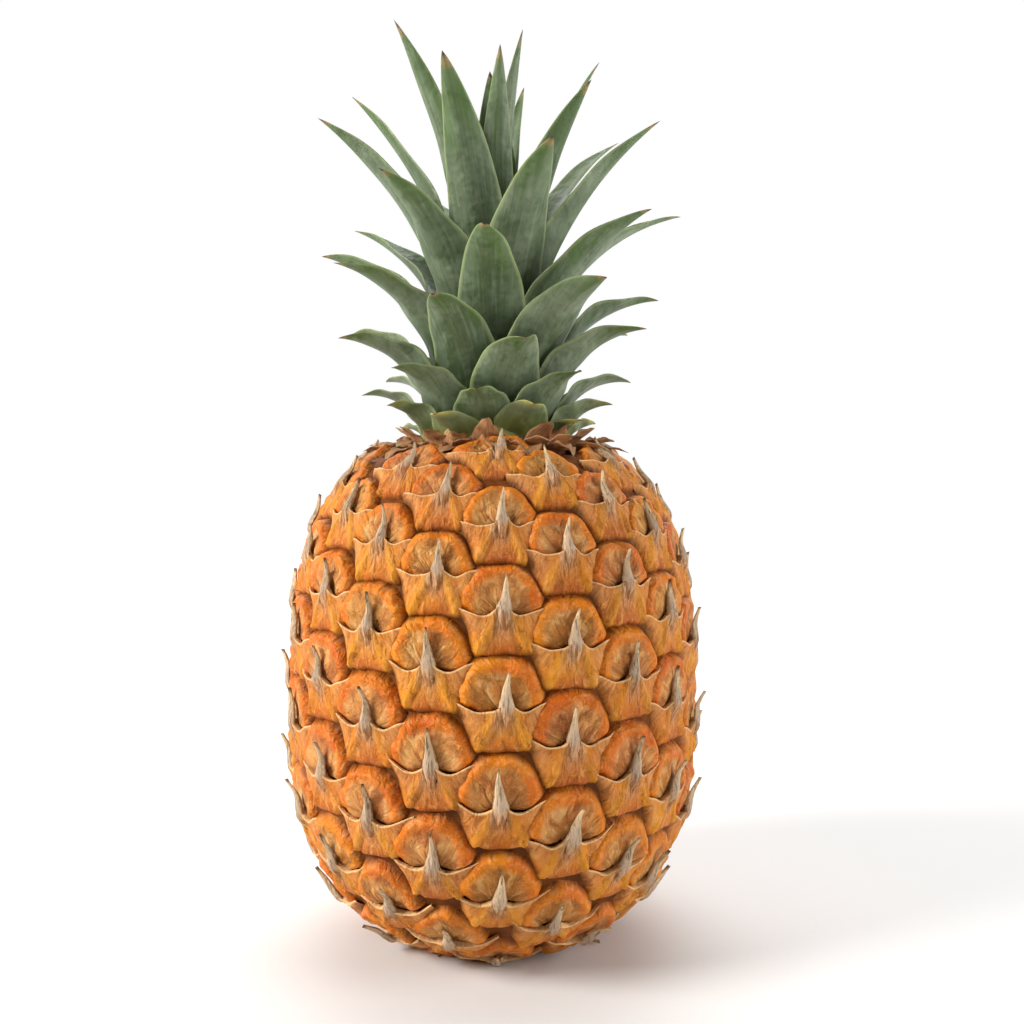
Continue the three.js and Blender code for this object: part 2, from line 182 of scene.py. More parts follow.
class Value:  # a node's output that works in expressions
    def __init__(self, nodes, socket):
        self.nodes, self.socket = nodes, socket

    def math(self, operation, *others):
        inputs = {i: v for i, v in enumerate((self, *others))}
        return self.nodes.add("ShaderNodeMath", {"operation": operation}, inputs)

    def __add__(self, other): return self.math("ADD", other)
    def __radd__(self, other): return self.math("ADD", other)
    def __sub__(self, other): return self.math("SUBTRACT", other)
    def __rsub__(self, other): return self.nodes.number("SUBTRACT", other, self)
    def __mul__(self, other): return self.math("MULTIPLY", other)
    def __rmul__(self, other): return self.math("MULTIPLY", other)
    def __truediv__(self, other): return self.math("DIVIDE", other)
    def __rtruediv__(self, other): return self.nodes.number("DIVIDE", other, self)
    def __pow__(self, other): return self.math("POWER", other)
    def __neg__(self): return self.math("MULTIPLY", -1.0)


class Nodes:  # one node tree, of shader or geometry nodes
    def __init__(self, tree):
        self.tree = tree
        tree.nodes.clear()

    def add(self, kind, settings=None, inputs=None, output=0):
        node = self.tree.nodes.new(kind)
        for key, value in (settings or {}).items():
            setattr(node, key, value)
        for key, value in (inputs or {}).items():
            if isinstance(value, Value):
                self.tree.links.new(value.socket, node.inputs[key])
            else:
                node.inputs[key].default_value = value
        return Value(self, node.outputs[output])

    def finish(self, kind, result):
        self.tree.links.new(result.socket, self.tree.nodes.new(kind).inputs[0])

    def number(self, operation, *values):
        return self.add("ShaderNodeMath", {"operation": operation}, dict(enumerate(values)))

    def smooth(self, value, low, high, start=0.0, end=1.0):
        inputs = {"Value": value, "From Min": low, "From Max": high, "To Min": start, "To Max": end}
        return self.add("ShaderNodeMapRange", {"interpolation_type": "SMOOTHSTEP"}, inputs)

    def mix(self, factor, first, second):
        return self.add("ShaderNodeMix", {"data_type": "RGBA"}, {0: factor, 6: first, 7: second}, 2)

    def combine(self, x, y, z):
        return self.add("ShaderNodeCombineXYZ", None, {0: x, 1: y, 2: z})

    def split(self, vector):
        first = self.add("ShaderNodeSeparateXYZ", None, {0: vector})
        return [Value(self, socket) for socket in first.socket.node.outputs]

    def noise(self, vector, scale, detail=3.0, rough=0.5, distortion=0.0):
        return self.add("ShaderNodeTexNoise", None, {
            "Vector": vector, "Scale": scale, "Detail": detail, "Roughness": rough, "Distortion": distortion})

    def objectCoordinates(self):
        return self.add("ShaderNodeTexCoord", None, None, "Object")

    def attribute(self, name, output="Vector"):
        return self.add("ShaderNodeAttribute", {"attribute_name": name}, None, output)


def newMaterial(name):
    material = bpy.data.materials.new(name)
    material.use_nodes = True
    return material, Nodes(material.node_tree)


def finishMaterial(nodes, colour, roughness, height=None, depth=0.0003, constants=None):
    inputs = {"Base Color": colour, "Roughness": roughness, **(constants or {})}
    if height is not None:
        inputs["Normal"] = nodes.add("ShaderNodeBump", None, {
            "Strength": 1.0, "Distance": depth, "Height": height})
    surface = nodes.add("ShaderNodeBsdfPrincipled", None, inputs)
    nodes.finish("ShaderNodeOutputMaterial", surface)


def geometryTree(name, sockets):  # a tree with a geometry input, the named inputs, and one geometry output
    tree = bpy.data.node_groups.new(name, "GeometryNodeTree")
    nodes = Nodes(tree)
    tree.interface.new_socket("Geometry", in_out="INPUT", socket_type="NodeSocketGeometry")
    for key, kind in sockets.items():
        tree.interface.new_socket(key, in_out="INPUT", socket_type=kind)
    tree.interface.new_socket("Geometry", in_out="OUTPUT", socket_type="NodeSocketGeometry")
    group = tree.nodes.new("NodeGroupInput")
    given = {socket.name: Value(nodes, socket) for socket in group.outputs if socket.name}
    return tree, nodes, given


def named(nodes, key, kind="FLOAT"):
    return nodes.add("GeometryNodeInputNamedAttribute", {"data_type": kind}, {"Name": key})


def runTree(source, tree, values, name):  # the tree's result as a plain mesh object
    holder = bpy.context.scene.collection
    holder.objects.link(source)
    modifier = source.modifiers.new(tree.name, "NODES")
    modifier.node_group = tree
    for item in tree.interface.items_tree:
        if item.in_out == "INPUT" and item.name in values:
            modifier[item.identifier] = values[item.name]
    source.update_tag()
    evaluated = source.evaluated_get(bpy.context.evaluated_depsgraph_get())
    mesh = bpy.data.meshes.new_from_object(evaluated)
    source.modifiers.remove(modifier)
    bpy.data.objects.remove(source)
    mesh.name = name
    result = bpy.data.objects.new(name, mesh)
    holder.objects.link(result)
    return result


def shadeSmooth(piece):
    mesh = piece.data
    mesh.polygons.foreach_set("use_smooth", np.ones(len(mesh.polygons), bool))
    mesh.update()


# The eyes: shields, bracts and spines are small meshes in an eye's own frame, in millimetres
# (x across, y up, z out), that a tree sets on the spiral and that are then bent onto the body.

eyes = {
    "variants": 6,
    "scatter": 0.6,  # how far an eye may sit from its place on the spiral
    "lowest": -3.0,  # heights between which there are eyes
    "highest": 145.5,
    "highestBract": 147.0,
    "worn": 0.4,  # eyes are pressed flat below this height
}
shieldShape = {
    "radius": 12.2,
    "middle": 3.3,  # above the eye's own middle
    "rimHeight": 1.8,
    "discHeight": 1.0,
    "grooveDepth": 1.2,
    "around": 54,
    "rings": (0, 0.2, 0.36, 0.48, 0.58, 0.67, 0.75,
              0.82, 0.88, 0.925, 0.96, 0.99, 1.02, 1.06),  # shares of the radius
}
bractShape = {
    "foot": -12.2,
    "footHalfWidth": 9.9,
    "flare": 3.8,  # how much wider to each side it gets at its top
    "corner": 13.2,  # sideways from the middle
    "across": 33,
    "up": 13,
    "lip": ((1.008, 0.25), (1.0, 0.9), (0.97, 2.2)),  # place up the bract and depth under it
}
spineShape = {
    "root": -4.5,
    "length": 11.0,
    "halfWidth": 2.45,
    "widths": ((-4.5, 0.4), (-1.5, 0.75), (1.0, 0.95),
               (3.0, 0.68), (6.0, 0.42), (11.5, 0.03)),  # place up the spine and share of its width
    "steps": (0, 0.1, 0.2, 0.3, 0.4, 0.52, 0.64, 0.76, 0.87, 0.95, 1.0),
}


def ripples(random, count, low, high, values, whole=False):  # a few waves with chance phases, added up
    total = 0
    for _ in range(count):
        waves = random.integers(low, high + 1) if whole else random.uniform(low, high)
        total = total + np.cos(waves * values + random.uniform(0, 2 * np.pi))
    return total / math.sqrt(count)


def bractTop(side):  # the bract's upper edge, from 0 at its middle to 1 at its corner
    return 2.6 * side ** 2.2 - 0.9 * np.exp(-((side - 0.38) / 0.26) ** 2)


def shieldTemplate(number):
    random = np.random.default_rng(100 + number)
    radius, around = shieldShape["radius"], shieldShape["around"]
    angle = np.linspace(0, 2 * np.pi, around, endpoint=False)[None, :]
    share = np.array(shieldShape["rings"])[:, None]
    lobes = ripples(random, 3, 3, 8, angle, True)
    teeth = ripples(random, 3, 11, 17, angle, True)
    outline = 1 + 0.025 * np.cos(6 * angle) + (0.016 * lobes + 0.008 * teeth) * share ** 3
    x = share * np.cos(angle) * radius * outline
    y = shieldShape["middle"] + share * np.sin(angle) * radius * outline
    rim = shieldShape["rimHeight"] * (1 + 0.10 * lobes + 0.05 * teeth)
    disc = shieldShape["discHeight"]
    crumple = ripples(random, 3, 0.4, 1.1, x + 0.5 * y) * ripples(random, 3, 0.4, 1.1, y - 0.5 * x)
    fan = np.arctan2(x, y + 2.5)  # folds fan out from the middle of the bract's upper edge
    away = np.hypot(x, y + 1)
    folds = ripples(random, 3, 4, 9, fan + 0.05 * away) * smooth(away, 2, 6)
    inside = smooth(1 - share, 0.0, 0.2)
    z = disc + 0.3 * crumple * inside + 0.26 * folds * inside
    z = z + (rim - disc) * smooth(share + 0.05 * lobes, 0.35, 0.80)
    z = z - 0.5 * np.exp(-((np.abs(x) - 2.8) / 2.0) ** 2 - ((y - 1.6) / 2.2) ** 2)  # pockets beside the spine
    z = z - (rim + shieldShape["grooveDepth"]) * smooth(share, 0.76, 1.07)
    z = z - 3.2 * smooth(bractTop(np.abs(x) / bractShape["corner"]) + 1.2 - y, 0, 2.6)  # dips under the bract
    points = np.stack([x, y, z], 2).reshape(-1, 3)
    return meshObject(f"shield{number}", points, gridFaces(len(share), around, True), {"local": points})


def bractSkin(random, lean):  # the fleshy bract under the shield
    s = np.linspace(-1, 1, bractShape["across"])[None, :]
    s = np.sign(s) * np.abs(s) ** 1.2
    side = np.abs(s)
    lip, depth = zip(*bractShape["lip"])
    v = np.concatenate([np.linspace(0, 1, bractShape["up"]), lip])[:, None]
    under = np.concatenate([np.zeros(bractShape["up"]), depth])[:, None]
    up = np.clip(v, 0, 1)
    halfWidth = bractShape["footHalfWidth"] + bractShape["flare"] * up ** 1.5
    halfWidth = halfWidth + 0.35 * np.cos(6 * up + random.uniform(0, 6))
    top = bractTop(side) + 2.3 * np.exp(-((s - lean) / 0.17) ** 2)
    top = top + 0.18 * ripples(random, 3, 8, 16, s)
    bottom = bractShape["foot"] + 1.2 * s ** 2
    x = s * halfWidth
    y = bottom + (top - bottom) * v
    ridgeAt = 0.12 + 0.62 * (1 - up) ** 1.1
    fromRidge = np.abs(s - lean * up) - ridgeAt
    ridge = np.exp(-(fromRidge / 0.09) ** 2)
    crease = np.exp(-((fromRidge + 0.13) / 0.06) ** 2) * smooth(1 - up, 0.05, 0.5)
    z = 0.9 + 0.8 * up + 1.0 * ridge * (1 - 0.4 * up) - 0.45 * crease
    z = z - 0.35 * smooth(side, ridgeAt, ridgeAt + 0.3) * (1 - up)
    hump = np.exp(-((s - lean) / 0.16) ** 2) * smooth(v, 0.45, 1.0)
    folds = np.cos(44 * (s - lean) + random.uniform(0, 6))
    folds = folds * np.exp(-((s - lean) / 0.3) ** 2) * smooth(v, 0.2, 0.9)
    z = z + 0.5 * hump + 0.16 * folds
    z = z + 0.16 * ripples(random, 4, 5, 14, s + 0.45 * v) * smooth(1 - side, 0, 0.3)
    z = z + 0.12 * ripples(random, 3, 6, 12, v + 0.3 * s) * smooth(1 - side, 0, 0.3)
    z = z + 0.3 * np.exp(-(((v - 1.0) / 0.045) ** 2)) * (1 - 0.5 * side) * smooth(side, 0.06, 0.2)
    z = z - smooth(side, 0.66, 1.0) * (2.5 - 1.6 * smooth(v, 0.6, 1.0))
    z = z - 2.8 * smooth(0.14 - v, 0.0, 0.14) - under * (1 - 0.5 * side)
    points = np.stack([x + 0 * v, y, z], 2).reshape(-1, 3)
    patch = np.stack([s + 0 * v, v + 0 * s, 0 * z], 2).reshape(-1, 3)
    return points, patch, gridFaces(len(v), bractShape["across"])


def spineBlade(random, lean):  # a closed pleated blade that comes out of the bract's middle
    u = np.array([-1, -0.7, -0.35, 0, 0.35, 0.7, 1, 0.5, -0.5])
    below = np.array([0] * 7 + [1, 1])  # the last two run back under the blade
    t = np.array(spineShape["steps"])[:, None]
    root = spineShape["root"]
    y = root + (spineShape["length"] * random.uniform(0.85, 1.06) - root) * t
    heights, shares = zip(*spineShape["widths"])
    width = spineShape["halfWidth"] * np.interp(y, heights, shares)
    width = width * random.uniform(0.9, 1.15)
    bend = random.uniform(-1.6, 1.6)
    x = u * width + lean * 11 + bend * t ** 2 + 0.25 * np.sin(9 * t + random.uniform(0, 6)) * t
    lift = random.uniform(1.2, 3.4) * smooth(t, 0.6, 1.15)
    pleats = 0.2 * np.cos(8.5 * u + random.uniform(0, 6) + 3 * t) + 0.12 * np.cos(5 * u + 7 * t)
    pleats = pleats * smooth(1 - t, 0.0, 0.3)
    crest = 1.5 + 2.2 * smooth(t, 0.0, 0.3) - 1.1 * smooth(t, 0.4, 0.95) + lift
    edge = 0.9 + 1.1 * smooth(t, 0.0, 0.3) - 0.4 * t + lift
    z = edge + (crest - edge) * (1 - np.abs(u) ** 1.5)
    z = z + pleats * (1 - below) - below * (0.4 + 0.4 * (1 - t))
    points = np.stack([x, y + 0 * u, z], 2).reshape(-1, 3)
    v = (y + 12.4) / 14.7  # the bract's own measure of height, carried on past its top
    patch = np.stack([x / bractShape["corner"], v + 0 * u, 1 + np.abs(u) + 0 * t], 2).reshape(-1, 3)
    along, across = len(t), len(u)
    faces = gridFaces(along, across, True)
    faces += [tuple(reversed(range(across))), tuple(range((along - 1) * across, along * across))]
    return points, patch, faces


def bractTemplate(number):  # the fleshy bract, and its tip that dries to a spine over the disc
    random = np.random.default_rng(200 + number)
    lean = random.uniform(-0.08, 0.08)
    points, patch, faces = bractSkin(random, lean)
    blade, bladePatch, bladeFaces = spineBlade(random, lean)
    faces += [tuple(i + len(points) for i in face) for face in bladeFaces]
    points, patch = np.concatenate([points, blade]), np.concatenate([patch, bladePatch])
    return meshObject(f"bract{number}", points, faces, {"local": points, "patch": patch})


def eyePoints(middles, turns):
    random = np.random.default_rng(5)
    normal = bodyNormal(middles)
    across = np.stack([np.cos(turns), np.sin(turns), 0 * turns], 1)
    up = np.cross(normal, across)
    aside, further = eyes["scatter"] * random.uniform(-1, 1, (2, len(middles), 1))
    middles = onBody(middles + aside * across + further * up)
    angles = [Matrix([a, b, c]).transposed().to_euler() for a, b, c in zip(across, up, normal)]
    return {
        "middle": middles,
        "across": across,
        "up": up,
        "facing": np.array(angles),
        "tone": random.random(len(middles)).astype(np.float32),
    }


def cellRoom(spots):  # the neighbours' offsets of each eye, for the room it has in each direction
    room = []
    for i in range(len(spots["middle"])):
        offset = spots["middle"] - spots["middle"][i]
        distance = np.linalg.norm(offset, axis=1)
        near = (distance > 0.1) & (distance < 45)
        flat = np.stack([offset[near] @ spots["across"][i], offset[near] @ spots["up"][i]], 1)
        flat *= (distance[near] / np.linalg.norm(flat, axis=1))[:, None]
        room.append(flat)
    return room


def reachOf(neighbours, direction):  # how far a cell reaches in each direction, with soft corners
    facing = 2 * (direction @ neighbours.T) / np.sum(neighbours ** 2, 1)
    return np.sum(np.clip(facing, 0, None) ** 8, 1) ** (-1 / 8)


def eyeTree():
    tree, nodes, given = geometryTree("eyes on a spiral", {
        "Kinds": "NodeSocketCollection", "Size": "NodeSocketFloat", "Finish": "NodeSocketMaterial"})
    kinds = nodes.add("GeometryNodeCollectionInfo", None, {
        "Collection": given["Kinds"], "Separate Children": True, "Reset Children": True})
    placed = nodes.add("GeometryNodeInstanceOnPoints", None, {
        "Points": given["Geometry"], "Instance": kinds, "Pick Instance": True,
        "Instance Index": named(nodes, "variant", "INT"),
        "Rotation": named(nodes, "facing", "FLOAT_VECTOR"), "Scale": given["Size"]})
    solid = nodes.add("GeometryNodeRealizeInstances", None, {"Geometry": placed})
    finished = nodes.add("GeometryNodeSetMaterial", None, {"Geometry": solid, "Material": given["Finish"]})
    nodes.finish("NodeGroupOutput", finished)
    return tree


def setEyes(name, template, material, spots, keep, room, tree):
    kinds = bpy.data.collections.new(name + " kinds")
    for number in range(eyes["variants"]):
        kinds.objects.link(template(number))
    random = np.random.default_rng(9)
    variant = random.integers(0, eyes["variants"], len(keep)).astype(np.int32)
    points = meshObject(name + " points", spots["middle"][keep], [], {
        "facing": spots["facing"][keep], "variant": variant, "tone": spots["tone"][keep],
        "eye": np.arange(len(keep), dtype=np.int32)})
    piece = runTree(points, tree, {"Kinds": kinds, "Size": 1.0, "Finish": material}, name)
    for thing in list(kinds.objects):
        bpy.data.objects.remove(thing)
    bpy.data.collections.remove(kinds)
    bendOntoBody(piece, spots, keep, room)
    piece.data.materials.clear()
    piece.data.materials.append(material)
    shadeSmooth(piece)
    print(name, len(piece.data.polygons), "faces")
    return piece


def bendOntoBody(piece, spots, keep, room):
    mesh = piece.data
    local = readAttribute(mesh, "local").astype(float)
    eye = readAttribute(mesh, "eye")
    nominal = room[int(np.argmin(np.abs(spots["middle"][:, 2] - eyeRule["frontHeight"])))]
    result = np.zeros_like(local)
    for i, k in enumerate(keep):
        mine = eye == i
        flat = local[mine, :2]
        length = np.linalg.norm(flat, axis=1) + 1e-6
        direction = flat / length[:, None]
        stretch = reachOf(room[k], direction) / reachOf(nominal, direction)
        flat = flat * stretch[:, None]
        size = min(1.0, stretch.mean())
        spot = spots["middle"][k] + flat[:, :1] * spots["across"][k] + flat[:, 1:] * spots["up"][k]
        foot = onBody(spot)
        result[mine] = foot + bodyNormal(foot) * (local[mine, 2:] * size)
    height, worn = result[:, 2], eyes["worn"]
    result[:, 2] = np.where(height < worn, worn / (1 + worn - np.minimum(height, worn)), height)
    mesh.vertices.foreach_set("co", (result * mm).ravel())
    mesh.update()


# Finishes of the eyes

def eyeShade(nodes):  # light and dark that drift over the fruit, and the tone of each eye
    coordinates = nodes.objectCoordinates()
    drift = nodes.noise(coordinates, 22.0, 2.0)
    tone = nodes.attribute("tone", "Fac")
    return coordinates, drift, tone


def creases(nodes, value):  # bright along the lines where a noise passes its middle
    return 1.0 - nodes.smooth((value - 0.5).math("ABSOLUTE"), 0.0, 0.09)


def shieldFinish():
    material, nodes = newMaterial("eye shield")
    coordinates, drift, tone = eyeShade(nodes)
    x, y, _ = nodes.split(nodes.attribute("local"))
    up = y - shieldShape["middle"]
    radius = ((x * x + up * up) ** 0.5) / shieldShape["radius"]
    angle = nodes.number("ARCTAN2", up, x)
    ring = nodes.combine(angle.math("COSINE"), angle.math("SINE"), tone * 30.0)
    teeth = nodes.noise(ring, 6.5, 2.0, 0.5)
    fan = nodes.number("ARCTAN2", x, y + 1.5)
    folds = nodes.noise(nodes.combine(fan * 1.5, radius * 1.2, tone * 40.0), 1.8, 3.0, 0.55, 0.9)
    wrinkles = nodes.noise(coordinates, 210.0, 3.0, 0.55, 1.6)
    patches = nodes.noise(coordinates, 120.0, 3.0, 0.5, 0.5)
    spots = nodes.noise(coordinates, 480.0, 5.0, 0.7)
    grain = nodes.noise(coordinates, 1500.0, 3.0, 0.7)
    lines = creases(nodes, wrinkles)
    disc = nodes.mix(nodes.smooth(patches, 0.38, 0.60), srgb(226, 170, 106), srgb(204, 138, 84))
    disc = nodes.mix(nodes.smooth(drift + tone * 0.6, 0.6, 1.1) * 0.45, disc, srgb(196, 146, 52))
    # painted highlight on the disc's fold crests and painted shade in its fold hollows
    disc = nodes.mix(nodes.smooth(folds, 0.5, 0.66) * 0.7, disc, srgb(240, 200, 142))
    disc = nodes.mix(nodes.smooth(folds, 0.5, 0.36) * 0.6, disc, srgb(172, 110, 56))
    # painted shade along the disc's crease lines
    disc = nodes.mix(lines * 0.12, disc, srgb(140, 86, 40))
    # painted shade: the disc is darker low in its middle, in the hollow under the bract's upper edge
    pocketShade = nodes.smooth(y, 4.4, 0.6) * nodes.smooth(x.math("ABSOLUTE"), 7.5, 2.0)
    disc = nodes.mix(pocketShade * 0.45, disc, srgb(126, 84, 24))
    rim = nodes.mix(nodes.smooth(drift + tone * 0.4, 0.5, 0.95), srgb(222, 134, 26), srgb(234, 156, 34))
    rim = nodes.mix(nodes.smooth(patches, 0.46, 0.60) * 0.5, rim, srgb(216, 110, 22))
    rim = nodes.mix(nodes.smooth(wrinkles, 0.55, 0.7) * 0.5, rim, srgb(240, 170, 90))
    # painted shade along the rim's crease lines
    rim = nodes.mix(lines * 0.12, rim, srgb(170, 86, 10))
    limit = radius + (folds - 0.5) * 0.35 + (patches - 0.5) * 0.3
    colour = nodes.mix(nodes.smooth(limit, 0.52, 0.72), disc, rim)
    # painted highlight: pale on the tooth crests along the rim's shoulder
    shoulder = nodes.smooth(radius, 0.76, 0.84) * nodes.smooth(radius, 0.93, 0.87)
    toothHighlight = shoulder * nodes.smooth(teeth, 0.48, 0.62)
    colour = nodes.mix(toothHighlight * 0.5, colour, srgb(240, 184, 120))
    colour = nodes.mix((spots - 0.35) * 0.6, colour, srgb(146, 92, 44))
    colour = nodes.mix(nodes.smooth(grain, 0.5, 0.75) * 0.25, colour, srgb(250, 214, 160))
    # painted shade: darker towards the shield's edge, where it drops into the groove
    grooveShade = nodes.smooth(radius + (teeth - 0.5) * 0.12, 0.82, 0.99)
    colour = nodes.mix(grooveShade * 0.9, colour, srgb(126, 78, 30))
    notches = teeth * nodes.smooth(radius, 0.72, 0.92)
    height = folds * 0.7 + wrinkles * 0.35 + spots * 0.14 + notches * 0.5 - lines * 0.03
    rough = nodes.smooth(radius, 0.5, 0.8, 0.6, 0.46)
    finishMaterial(nodes, colour, rough, height, 0.0022, {"Specular IOR Level": 0.22})
    return material


def bractFinish():
    material, nodes = newMaterial("eye bract")
    coordinates, drift, tone = eyeShade(nodes)
    s, v, spine = nodes.split(nodes.attribute("patch"))
    x, y, _ = nodes.split(nodes.attribute("local"))
    side = s.math("ABSOLUTE")
    fan = nodes.number("ARCTAN2", x * 0.1, 1.3 - y * 0.08)
    veins = nodes.noise(nodes.combine(fan * 5.0, y * 0.10, tone * 40.0), 2.2, 4.0, 0.6, 0.8)
    fibres = nodes.noise(nodes.combine(x * 0.9, y * 0.12, tone * 40.0), 2.0, 4.0, 0.6, 0.6)
    wrinkles = nodes.noise(coordinates, 200.0, 3.0, 0.55, 1.6)
    patches = nodes.noise(coordinates, 110.0, 3.0, 0.5, 0.4)
    spots = nodes.noise(coordinates, 480.0, 5.0, 0.7)
    grain = nodes.noise(coordinates, 1500.0, 3.0, 0.7)
    colour = nodes.mix(nodes.smooth(drift + tone * 0.4, 0.5, 1.0), srgb(220, 144, 50), srgb(232, 160, 62))
    colour = nodes.mix(nodes.smooth(patches, 0.42, 0.60) * 0.5, colour, srgb(206, 142, 88))
    ridge = ((side - (0.12 + 0.62 * (1.0 - v))) / 0.2).math("ABSOLUTE")
    yellow = nodes.smooth(ridge, 1.1, 0.2) * nodes.smooth(drift + patches + tone * 0.4, 0.85, 1.25)
    colour = nodes.mix(yellow * 0.6, colour, srgb(230, 168, 48))
    wing = nodes.smooth(side, 0.3, 0.8) * nodes.smooth(v, 0.35, 0.85)
    colour = nodes.mix(wing * 0.5, colour, srgb(226, 176, 126))
    foot = nodes.smooth(v, 0.5, 0.1) * nodes.smooth(side, 0.55, 0.3)
    colour = nodes.mix(foot * 0.65, colour, srgb(190, 100, 24))
    colour = nodes.mix(nodes.smooth(veins, 0.53, 0.67) * 0.5, colour, srgb(236, 188, 118))
    colour = nodes.mix(nodes.smooth(veins, 0.47, 0.35) * 0.5, colour, srgb(152, 88, 30))
    heart = nodes.smooth(x.math("ABSOLUTE"), 4.2, 0.8) * nodes.smooth(y, -8.5, -1.0)
    fibre = nodes.mix(nodes.smooth(fibres, 0.42, 0.6), srgb(164, 124, 94), srgb(236, 204, 170))
    colour = nodes.mix(heart * 0.75, colour, fibre)
    dry = nodes.smooth(y, 1.5, 9.0)
    tip = nodes.mix(dry, srgb(220, 198, 174), srgb(238, 216, 180))
    tip = nodes.mix(nodes.smooth(fibres, 0.46, 0.34) * 0.75, tip, srgb(128, 102, 80))
    tip = nodes.mix(nodes.smooth(spine, 1.6, 2.0) * 0.7, tip, srgb(246, 222, 184))
    tip = nodes.mix(nodes.smooth(y, 9.6, 11.0) * 0.8, tip, srgb(84, 58, 40))
    colour = nodes.mix(nodes.smooth(y, -2.0, 2.0) * nodes.smooth(spine, 0.4, 0.9), colour, tip)
    colour = nodes.mix((spots - 0.35) * 0.6, colour, srgb(140, 90, 46))
    colour = nodes.mix(nodes.smooth(grain, 0.5, 0.75) * 0.2, colour, srgb(250, 214, 160))
    lip = nodes.smooth(v, 0.955, 0.99) * nodes.smooth(spine, 0.6, 0.4) * nodes.smooth(side, 0.06, 0.2)
    colour = nodes.mix(lip * 0.8, colour, srgb(246, 214, 166))
    # painted shade: the bract darkens towards its sides and its foot, where it drops into the groove
    sideShade = nodes.smooth(side + (spots - 0.5) * 0.1, 0.66, 0.96) * nodes.smooth(v, 1.0, 0.75)
    lowest = nodes.smooth(v + (spots - 0.5) * 0.05, 0.18, 0.02)
    edge = nodes.number("MAXIMUM", sideShade, lowest) * nodes.smooth(spine, 0.6, 0.4)
    colour = nodes.mix(edge * 0.9, colour, srgb(130, 80, 32))
    rough = nodes.smooth(spots, 0.3, 0.7, 0.5, 0.64)
    height = veins * 0.5 + wrinkles * 0.35 + spots * 0.14 + fibres * heart * 0.6
    finishMaterial(nodes, colour, rough, height, 0.0020, {"Specular IOR Level": 0.2})
    return material


def rindFinish():
    material, nodes = newMaterial("rind between the eyes")
    coordinates = nodes.objectCoordinates()
    patches = nodes.noise(coordinates, 160.0, 3.0)
    colour = nodes.mix(nodes.smooth(patches, 0.35, 0.65), srgb(114, 70, 28), srgb(142, 90, 38))
    finishMaterial(nodes, colour, 0.7, patches, 0.0008, {"Specular IOR Level": 0.15})
    return material


# The rind under the eyes: a closed body a little inside their surface, flat where it stands.

rind = {"inset": 0.5, "around": 144, "up": 110, "lowest": 0.5}


def rindBody(material):
    angle = np.linspace(-np.pi / 2, np.pi / 2, rind["up"] + 2)[1:-1]
    outline = onBody(np.stack([np.cos(angle), 0 * angle, body["widest"] + np.sin(angle)], 1))
    outline -= bodyNormal(outline) * rind["inset"]
    profile = list(zip(outline[:, 0], np.clip(outline[:, 2], rind["lowest"], body["neck"])))
    return lathed("rind", profile, rind["around"], material)


# Blades: crown leaves and dry bracts grow from one tree. Each point holds one blade's shape, and the
# blade is a flat strip that the tree bends into an arc, hollows into a channel and turns to its place.

def bladeTree():
    tree, nodes, given = geometryTree("bent blades", {
        "Around": "NodeSocketInt", "Along": "NodeSocketInt",
        "Thickness": "NodeSocketFloat", "Finish": "NodeSocketMaterial"})
    tube = nodes.add("GeometryNodeMeshCylinder", {"fill_type": "NGON"}, {
        "Vertices": given["Around"], "Side Segments": given["Along"], "Radius": 1.0, "Depth": 1.0})
    tubeX, tubeY, tubeZ = nodes.split(nodes.add("GeometryNodeInputPosition"))
    for key, value in {"along": tubeZ + 0.5, "across": tubeX, "through": -tubeY}.items():
        tube = nodes.add("GeometryNodeStoreNamedAttribute", {"data_type": "FLOAT", "domain": "POINT"}, {
            "Geometry": tube, "Name": key, "Value": value})
    placed = nodes.add("GeometryNodeInstanceOnPoints", None, {"Points": given["Geometry"], "Instance": tube})
    solid = nodes.add("GeometryNodeRealizeInstances", None, {"Geometry": placed})
    t, u, through = named(nodes, "along"), named(nodes, "across"), named(nodes, "through")
    get = {key: named(nodes, key) for key in (
        "radius", "height", "length", "width", "rootTilt", "tipTilt", "turn",
        "channel", "twist", "sway", "wave", "hook", "base")}
    bend = get["tipTilt"] - get["rootTilt"]
    tilt = get["rootTilt"] + bend * t
    arc = get["length"] / bend
    outward = arc * (get["rootTilt"].math("COSINE") - tilt.math("COSINE"))
    upward = arc * (tilt.math("SINE") - get["rootTilt"].math("SINE"))
    outward = outward + get["hook"] * nodes.smooth(t, 0.75, 1.15)
    taper = (1.0 - t ** get["base"]) ** 0.85
    half = get["width"] * 0.5 * taper * nodes.smooth(t, -0.25, 0.3, 0.7, 1.0) + 0.02
    side = u * half
    lift = -1.0 * (u.math("ABSOLUTE") ** 1.7) * half * get["channel"]
    ripple = (t * 19.0 + get["wave"] * 7.0 + u * 1.5).math("SINE") * (u * u) * half * get["wave"] * 0.09
    lift = lift + ripple + through * given["Thickness"] * 0.5 * (1.02 - t ** 3.0)
    roll = get["twist"] * t
    across = side * roll.math("COSINE") - lift * roll.math("SINE") + get["sway"] * t * t
    proud = side * roll.math("SINE") + lift * roll.math("COSINE")
    radial = get["radius"] + outward + proud * tilt.math("COSINE")
    rise = get["height"] + upward - proud * tilt.math("SINE")
    sine, cosine = get["turn"].math("SINE"), get["turn"].math("COSINE")
    x = radial * sine + across * cosine
    y = across * sine - radial * cosine
    bent = nodes.add("GeometryNodeSetPosition", None, {
        "Geometry": solid, "Position": nodes.combine(x * mm, y * mm, rise * mm)})
    finished = nodes.add("GeometryNodeSetMaterial", None, {"Geometry": bent, "Material": given["Finish"]})
    nodes.finish("NodeGroupOutput", finished)
    return tree


